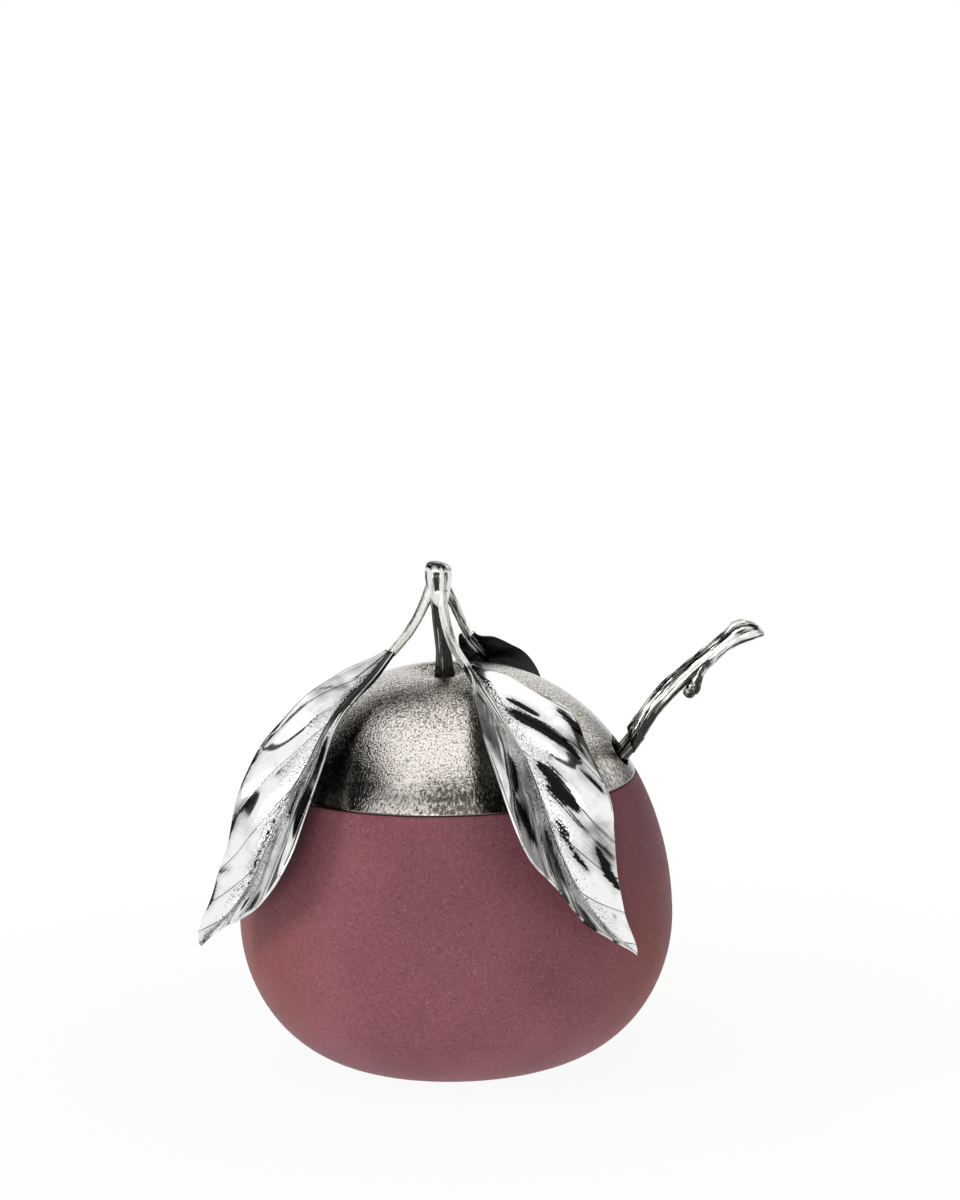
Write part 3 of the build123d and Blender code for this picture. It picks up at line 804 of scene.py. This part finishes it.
# painted dark reflections in the hollows, with ragged edges, and dark pits near the midrib
leaf_reflection_and_pits = combine(leaf_tree, "ADD", leaf_reflection_marks, leaf_ragged)
leaf_reflection_and_pits = ramp(leaf_tree, leaf_reflection_and_pits, 0.0, 0.35)
leaf_cloud = noise_at(leaf_tree, leaf_place, leaf_cloud_scale, 3.0)
leaf_cloud = ramp(leaf_tree, leaf_cloud, 0.35, 0.70, -0.26, 0.18)
leaf_brush = noise_at(leaf_tree, leaf_lie, 1.0, 4.0)
leaf_brush = ramp(leaf_tree, leaf_brush, 0.35, 0.68, -0.10, 0.20)
# painted streaks of shade that run along the veins where the painted shade is deepest
leaf_shade_streaks = noise_at(leaf_tree, leaf_lie, 0.19, 2.0)
leaf_shade_streaks = ramp(leaf_tree, leaf_shade_streaks, 0.36, 0.64, -0.95, 0.90)
leaf_deepest = ramp(leaf_tree, leaf_shade, 0.55, 1.0)
leaf_shade_streaks = combine(leaf_tree, "MULTIPLY", leaf_shade_streaks, leaf_deepest)
# random tone and brush marks together with painted shade
leaf_tone_and_shade = leaf_shade
for darkening_part in (leaf_cloud, leaf_brush, leaf_shade_streaks):
    leaf_tone_and_shade = combine(leaf_tree, "ADD", leaf_tone_and_shade, darkening_part)
leaf_tone_and_shade = combine(leaf_tree, "MAXIMUM", leaf_tone_and_shade, leaf_vein_shade)
# painted grey reflection round each dark one
leaf_reflection_halo = ramp(leaf_tree, leaf_reflection_marks, -1.6, 0.3, 0.0, 0.45)
leaf_tone_and_shade = combine(leaf_tree, "ADD", leaf_tone_and_shade, leaf_reflection_halo)
leaf_colour = blend_colour(leaf_tree, leaf_tone_and_shade, leaf_bright, leaf_tone_and_shade_grey)
leaf_deep_shade = ramp(leaf_tree, leaf_tone_and_shade, 1.0, 1.7)
leaf_colour = blend_colour(leaf_tree, leaf_deep_shade, leaf_colour, leaf_deep_shade_grey)
leaf_colour = blend_colour(leaf_tree, leaf_line, leaf_vein_grey, leaf_colour)
leaf_spots = ramp(leaf_tree, leaf_grain, 0.35, 0.30)
leaf_spots = combine(leaf_tree, "MULTIPLY", leaf_spots, leaf_near)
leaf_reflection_and_pits = combine(leaf_tree, "MAXIMUM", leaf_reflection_and_pits, leaf_spots)
leaf_colour = blend_colour(leaf_tree, leaf_reflection_and_pits, leaf_colour, leaf_reflection_and_pit_black)
leaf_tree.links.new(leaf_colour, leaf_shader.inputs["Base Color"])
leaf_relief = relief(leaf_tree, leaf_pits, leaf_pit_depth)
leaf_relief = relief(leaf_tree, leaf_line, leaf_line_depth, leaf_relief)
leaf_tree.links.new(leaf_relief, leaf_shader.inputs["Normal"])

under_silver, under_tree, under_place, under_shader = silver(
    "darkened_silver", under_metal, 0.22, 0.36, 220.0
)
under_shader.inputs["Specular Tint"].default_value = under_tint
under_grain = noise_at(under_tree, under_place, under_grain_scale, 2.0)
under_tree.links.new(relief(under_tree, under_grain, under_grain_depth), under_shader.inputs["Normal"])


def inside_marks(marks, along, across, length):
    """Millimetres that each point lies inside the nearest of some long marks, negative outside them."""
    inside = np.full(across.shape, far_outside)
    for near_share, near_across, far_share, far_across, width in marks:
        run = (far_share - near_share) * length
        aside = far_across - near_across
        step_along = along - near_share * length
        step_across = across - near_across
        reach = np.clip((step_along * run + step_across * aside) / (run**2 + aside**2), 0.0, 1.0)
        distance = np.hypot(step_along - reach * run, step_across - reach * aside)
        inside = np.maximum(inside, width * np.sqrt(1.0 - (2.0 * reach - 1.0) ** 2) - distance)
    return inside


def leaf_blade(side, line_frames):
    """Rings across a blade, upper face first and lower face after, with the values its finish reads."""
    places, _, across, upper = line_frames
    share = np.linspace(0.0, 1.0, blade_steps)[:, None]
    length = np.sum(np.linalg.norm(np.diff(places, axis=0), axis=1))
    column = np.linspace(-1.0, 1.0, blade_columns)[None, :]
    away = np.abs(column)
    edge = leaf_base_half + (leaf_tip_half - leaf_base_half) * share
    halves = []
    for greatest, bias, sharpness in leaf_halves[side]:
        swell = np.clip(np.sin(pi * share**bias), 0.0, 1.0) ** sharpness
        halves.append(edge + (greatest - edge) * swell)
    slender = smooth_step(share, -0.06, 0.12)
    halves = [edge + (width - edge) * slender for width in halves]
    for bulge_half, bulge_share, bulge_spread, bulge in leaf_bulges[side]:
        halves[bulge_half > 0] += bulge * np.exp(-(((share - bulge_share) / bulge_spread) ** 2))
    half = np.where(column < 0, halves[0], halves[1])
    swell = np.clip(np.sin(pi * share), 0.0, 1.0)
    offset = np.where(column > 0, 0.0, vein_shift)
    slant = vein_slant * (1.0 + vein_slant_gains[side] * share)
    vein = (share * length - away * half * slant - vein_start) / vein_spacing + offset + vein_first
    part = vein - np.floor(vein)
    base = 1.0 - smooth_step(share, 0.0, leaf_base_share)
    fold = radians(leaf_fold) + radians(leaf_base_folds[side]) * base
    soft = np.sqrt(away**2 + crease_half**2) - crease_half
    rise = half * np.sin(fold) * soft + belly_depth * half * away * (1.0 - away)
    quilt = np.sin(pi * part**1.5) ** 0.8 - 0.5
    rise = rise + quilt_depth * quilt * np.sin(pi * away**0.8) ** 0.6 * swell**0.5
    rise = rise + edge_wave * away**3 * np.sin(pi * vein + 0.8) * swell
    sag = np.zeros(rise.shape)
    for row in range(blade_steps):
        for place in range(blade_columns):
            spot = places[row] + across[row] * column[0, place] * half[row, place]
            sag[row, place] = noise.noise(Vector(spot / sag_length))
    rise = rise + sag_depth * sag * swell * np.minimum(away * 4.0, 1.0)
    # hollows dent the sheet and carry painted dark reflections
    hollow = inside_marks(leaf_hollows_and_reflections[side], share * length, column * half, length)
    shade = smooth_step(inside_marks(leaf_shades[side], share * length, column * half, length), -5.0, 3.5)
    shade = shade * leaf_shade_depths[side]
    rise = rise - hollow_depth * smooth_step(hollow, -0.6, 0.8)
    top = (
        places[:, None, :]
        + (column * half * np.cos(fold))[:, :, None] * across[:, None, :]
        + rise[:, :, None] * upper[:, None, :]
    )
    normal = unit(np.cross(np.gradient(top, axis=1), np.gradient(top, axis=0)))
    normal *= np.sign(np.sum(normal * upper[:, None, :], axis=2, keepdims=True))
    thick = leaf_thickness * (1.0 - leaf_edge_loss * away**4) * (0.6 + 0.4 * swell)
    bottom = top - normal * thick[:, :, None]
    sideways = unit(across)
    right = (top[:, -1] + bottom[:, -1]) / 2 + sideways * thick[:, -1:] / 2
    left = (top[:, 0] + bottom[:, 0]) / 2 - sideways * thick[:, :1] / 2
    rings = np.concatenate((top, right[:, None], bottom[:, ::-1], left[:, None]), axis=1)
    span = np.broadcast_to(column, top.shape[:2])
    values = {}
    for name, value in (("across", span), ("vein", vein), ("hollow", hollow), ("shade", shade)):
        values[name] = np.concatenate((value, value[:, -1:], value[:, ::-1], value[:, :1]), axis=1)
    return rings, values


for side in leaf_lines:
    blade_frames = leaf_frames(side, stalk_end, len(leaf_lines[side]) - 1, blade_steps)
    rings, values = leaf_blade(side, blade_frames)
    leaf = skin(f"leaf_blade_{side}", rings, leaf_silver)
    leaf.data.materials.append(under_silver)
    for name, value in values.items():
        mark_points(leaf, name, value)
    around = rings.shape[1]
    for index, face in enumerate(leaf.data.polygons):
        if blade_columns < index % around < around - 1 and len(face.vertices) == 4:
            face.material_index = 1
    share = np.linspace(0.0, 1.0, blade_steps)
    radii = rib_radius - rib_taper * share + rib_root * (1.0 - smooth_step(share, 0.05, 0.45))
    radii *= 0.75 + 0.25 * smooth_step(share, 0.0, 0.10)
    shaded_share = rib_shaded_shares[side]
    # painted shade darkens the midrib from the stalk to its shaded share
    painted_shade = 1.0 - 0.8 * smooth_step(share, shaded_share, shaded_share + 0.06)
    rib = rod(f"leaf_rib_{side}", blade_frames, radii, rib_ridges, rib_ridge_depth, rib_flat, painted_shade)
    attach(leaf, "lid")
    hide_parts(f"leaf_{side}")
    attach(rib, "lid")


# Spoon bowl and shank: a drawn round rod, dark in its drawing lines, with a pressed and polished oval
# bowl soldered to its lower end. The rod passes through the oval hole in the dome.
spoon_slope = radians(49.5)
shank_metal = (0.80, 0.79, 0.77, 1.0)
shank_bright = (0.80, 0.78, 0.74, 1.0)
shank_dark = (0.05, 0.048, 0.042, 1.0)
shank_line_scale = 750.0
shank_line_stretch = (1.0, 1.0, 0.06)
shank_line_depth = 0.00010

shank_silver, shank_tree, shank_place, shank_shader = silver("drawn_silver", shank_metal, 0.12, 0.22, 300.0)
shank_turn = shank_tree.nodes.new("ShaderNodeMapping")
shank_turn.inputs["Rotation"].default_value = (0.0, spoon_slope - pi / 2, 0.0)
shank_tree.links.new(shank_place, shank_turn.inputs["Vector"])
shank_along = shank_turn.outputs["Vector"]
shank_lines = noise_at(shank_tree, shank_along, shank_line_scale, 2.0, shank_line_stretch)
shank_tone = ramp(shank_tree, shank_lines, 0.54, 0.68)
shank_colour = blend_colour(shank_tree, shank_tone, shank_dark, shank_bright)
shank_tree.links.new(shank_colour, shank_shader.inputs["Base Color"])
shank_tree.links.new(relief(shank_tree, shank_lines, shank_line_depth), shank_shader.inputs["Normal"])
dress("spoon_bowl", plain_silver)
dress("spoon_shank", shank_silver)


# Spoon handle: a cast twig with deep lengthwise bark, a torn lower end over the shank and a flared
# slanting cut at the top. It is fixed on the upper end of the shank.
port_height = 74.8
port_side = -3.5
port_reach = 41.04
twig_start = 4.6
twig_straight = 20.0
twig_bend = 70.0
twig_length = 45.5
twig_steps = 170
twig_sides = 80
# the bark's ridges and the finer ones on them: twist, length, seed, how close they lie and depth
ridge_twist = 0.02
ridge_length = 8.0
ridge_seed = 11.0
ridge_coarse = 2.4
ridge_depth = 0.21
fine_twist = 0.03
fine_length = 11.0
fine_seed = 15.0
fine_coarse = 4.2
fine_depth = 0.08
# the torn lower end and the flared cut, in millimetres along the twig
tear_length = 7.0
tear_seed = 5.0
tear_dark_length = 1.4
firm_length = 5.0
flare_length = 6.0
flare_ridge_loss = 0.14
cut_slant = 0.2
cut_edge_start = (43.4, 44.3)
cut_edge_end = (44.9, 45.4)
# how dark the bark is: everywhere, its painted shade underneath, in its cracks, at the torn end and at the
# cut's edge
bark_tone = 0.20
under_painted_shade = 0.24
crack_tone = 0.46
torn_tone = 0.6
cut_edge_tone = 0.55

spoon_out = np.array([cos(spoon_slope), 0.0, sin(spoon_slope)])
spoon_up = np.array([-sin(spoon_slope), 0.0, cos(spoon_slope)])
spoon_side = np.array([0.0, 1.0, 0.0])
port_point = np.array([port_reach, port_side, port_height])
twig_marks = [4.6, 6.5, 9.5, 14.0, 20.0, 27.0, 31.6, 36.0, 38.2, 40.0, 42.0, 43.4, 44.4, 45.1, 45.5]
twig_radii = [2.55, 2.65, 2.35, 2.15, 2.15, 2.20, 2.20, 2.20, 2.40, 2.75, 2.85, 2.75, 2.50, 2.05, 1.20]
# the bark's middle line rises off the rod's line and comes back to it
twig_lift_marks = [4.6, 6.5, 9.5, 13.5, 20.0, 27.0, 33.0, 37.0, 40.5, 43.0, 45.5]
twig_lifts = [0.2, 0.45, 1.0, 1.4, 1.1, 0.2, -0.2, -0.15, 0.0, -0.6, -1.9]


def twig_place(distance):
    """Point of the rod's line at a distance from the port, and its directions along and up."""
    turn = max(distance - twig_straight, 0.0) / twig_bend
    forward = min(distance, twig_straight) + twig_bend * sin(turn)
    sink = twig_bend * (cos(turn) - 1.0)
    point = port_point + spoon_out * forward + spoon_up * sink
    along = spoon_out * cos(turn) - spoon_up * sin(turn)
    up = spoon_up * cos(turn) + spoon_out * sin(turn)
    return point, along, up


twig_line = []
for mark, lift in zip(twig_lift_marks, twig_lifts):
    point, _, up = twig_place(mark)
    twig_line.append(point + up * lift)
twig_line = flow(twig_line, 0, len(twig_line) - 1, twig_steps + 1)
twig_rings = []
twig_grooves_and_shade = []
for step in range(twig_steps + 1):
    distance = twig_start + (twig_length - twig_start) * step / twig_steps
    radius = np.interp(distance, twig_marks, twig_radii)
    end = smooth_step(distance, twig_length - flare_length, twig_length)
    low_end = 1.0 - smooth_step(distance, twig_start, twig_start + firm_length)
    tear_share = 1.0 - smooth_step(distance, twig_start, twig_start + tear_length)
    torn = torn_tone * (1.0 - smooth_step(distance, twig_start, twig_start + tear_dark_length))
    cut_edge = smooth_step(distance, *cut_edge_start) * (1.0 - smooth_step(distance, *cut_edge_end))
    _, along, up = twig_place(distance)
    point = twig_line[step]
    ring = []
    for spoke in range(twig_sides):
        angle = 2 * pi * spoke / twig_sides
        ridge = bark(angle + ridge_twist * distance, distance / ridge_length, ridge_seed, ridge_coarse)
        fine = bark(angle + fine_twist * distance, distance / fine_length, fine_seed, fine_coarse)
        firm = 1.0 - low_end * smooth_step(-sin(angle), 0.0, 0.6)
        coarse_rise = (ridge_depth - flare_ridge_loss * end) * firm * ridge
        fine_rise = fine_depth * (1.0 - end) * firm * fine
        reach = radius * (1.0 + coarse_rise + fine_rise)
        ragged = 0.8 * bark(angle, 0.0, tear_seed, ridge_coarse) + 0.6
        tear = tear_share * (ragged - 1.8 * (1.0 - sin(angle)))
        slant = -cut_slant * end * reach * sin(angle)
        # painted shade on the twig's underside
        under = smooth_step(-sin(angle), -0.20, 0.45)
        crack = 1.0 - smooth_step(ridge, -0.30, 0.20)
        crack = max(crack, 1.3 - 1.3 * smooth_step(fine, -0.35, -0.05))
        crack *= 1.0 - 0.85 * smooth_step(fine, -0.02, 0.22)
        tone = bark_tone + (1.0 - 0.35 * end) * (under_painted_shade * under + crack_tone * crack) - 0.28 * end
        twig_grooves_and_shade.append(tone + torn + cut_edge_tone * cut_edge)
        outward = spoon_side * reach * cos(angle) + up * reach * sin(angle)
        ring.append(point + outward + along * (tear + slant))
    twig_rings.append(ring)
twig = skin("spoon_handle", np.array(twig_rings), cast_silver)
mark_points(twig, "groove_and_shade", twig_grooves_and_shade)
twig_angles = np.linspace(0.0, 2 * pi, twig_sides, endpoint=False)
mark_grain(twig, twig_angles, np.linspace(twig_start, twig_length, twig_steps + 1))
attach(twig, "spoon")
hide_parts("spoon_twig")


# Side shoot: a short cut shoot of cast silver joined to the underside of the twig. It leaves the twig
# at a slant and runs back along it to two knobbly lumps.

# the shoot and the bump on its end: distance from the port, millimetres above the rod's line, radius
shoot_marks = [
    (33.5, -0.6, 1.2),
    (30.5, -0.9, 1.3),
    (28.0, -1.35, 1.25),
    (26.0, -2.0, 1.15),
    (24.4, -2.7, 1.35),
    (23.2, -3.2, 1.65),
]
bump_marks = [(25.4, -2.0, 0.9), (23.4, -2.6, 1.2), (21.6, -3.0, 1.45)]
shoot_side = -0.7
shoot_steps = 40
shoot_end_steps = 10
shoot_end_turn = 0.48 * pi
shoot_sides = 32
shoot_length = 14.0
shoot_seed = 21.0
bump_seed = 22.0
lump_length = 2.5
lump_coarse = 1.5
lump_depth = 0.17


def side_shoot(name, marks, seed):
    """One arm of the shoot along its marks, knobbly and round at its end."""
    line = []
    mark_radii = []
    for distance, lift, radius in marks:
        mark_radii.append(radius)
        point, _, up = twig_place(distance)
        line.append(point + up * lift + spoon_side * shoot_side)
    line = flow(line, 0, len(line) - 1, shoot_steps)
    shares = np.linspace(0.0, 1.0, shoot_steps)
    radii = np.interp(shares, np.linspace(0.0, 1.0, len(marks)), mark_radii)
    along = unit(np.gradient(line, axis=0))
    turns = np.linspace(0.0, shoot_end_turn, shoot_end_steps + 1)[1:]
    line = np.concatenate((line, line[-1] + along[-1] * radii[-1] * np.sin(turns)[:, None]))
    radii = np.concatenate((radii, radii[-1] * np.cos(turns)))
    along = np.concatenate((along, np.repeat(along[-1:], shoot_end_steps, axis=0)))
    up = unit(np.cross(spoon_side, along))
    angles = np.linspace(0.0, 2 * pi, shoot_sides, endpoint=False)
    distances = np.linspace(0.0, shoot_length, len(line))
    lumps = []
    for distance in distances:
        lumps.append([bark(angle, distance / lump_length, seed, lump_coarse) for angle in angles])
    lumps = np.array(lumps)
    reach = radii[:, None] * (1.0 + lump_depth * lumps)
    rings = (
        line[:, None, :]
        + (reach * np.cos(angles))[:, :, None] * spoon_side
        + (reach * np.sin(angles))[:, :, None] * up[:, None, :]
    )
    piece = skin(name, rings, cast_silver)
    mark_points(piece, "groove_and_shade", 0.45 + 0.5 * (1.0 - smooth_step(lumps, -0.3, 0.3)))
    mark_grain(piece, angles, distances)
    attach(piece, "spoon")
    return piece


shoot = side_shoot("spoon_shoot", shoot_marks, shoot_seed)
side_shoot("spoon_shoot_bump", bump_marks, bump_seed)
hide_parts("spoon_bud")
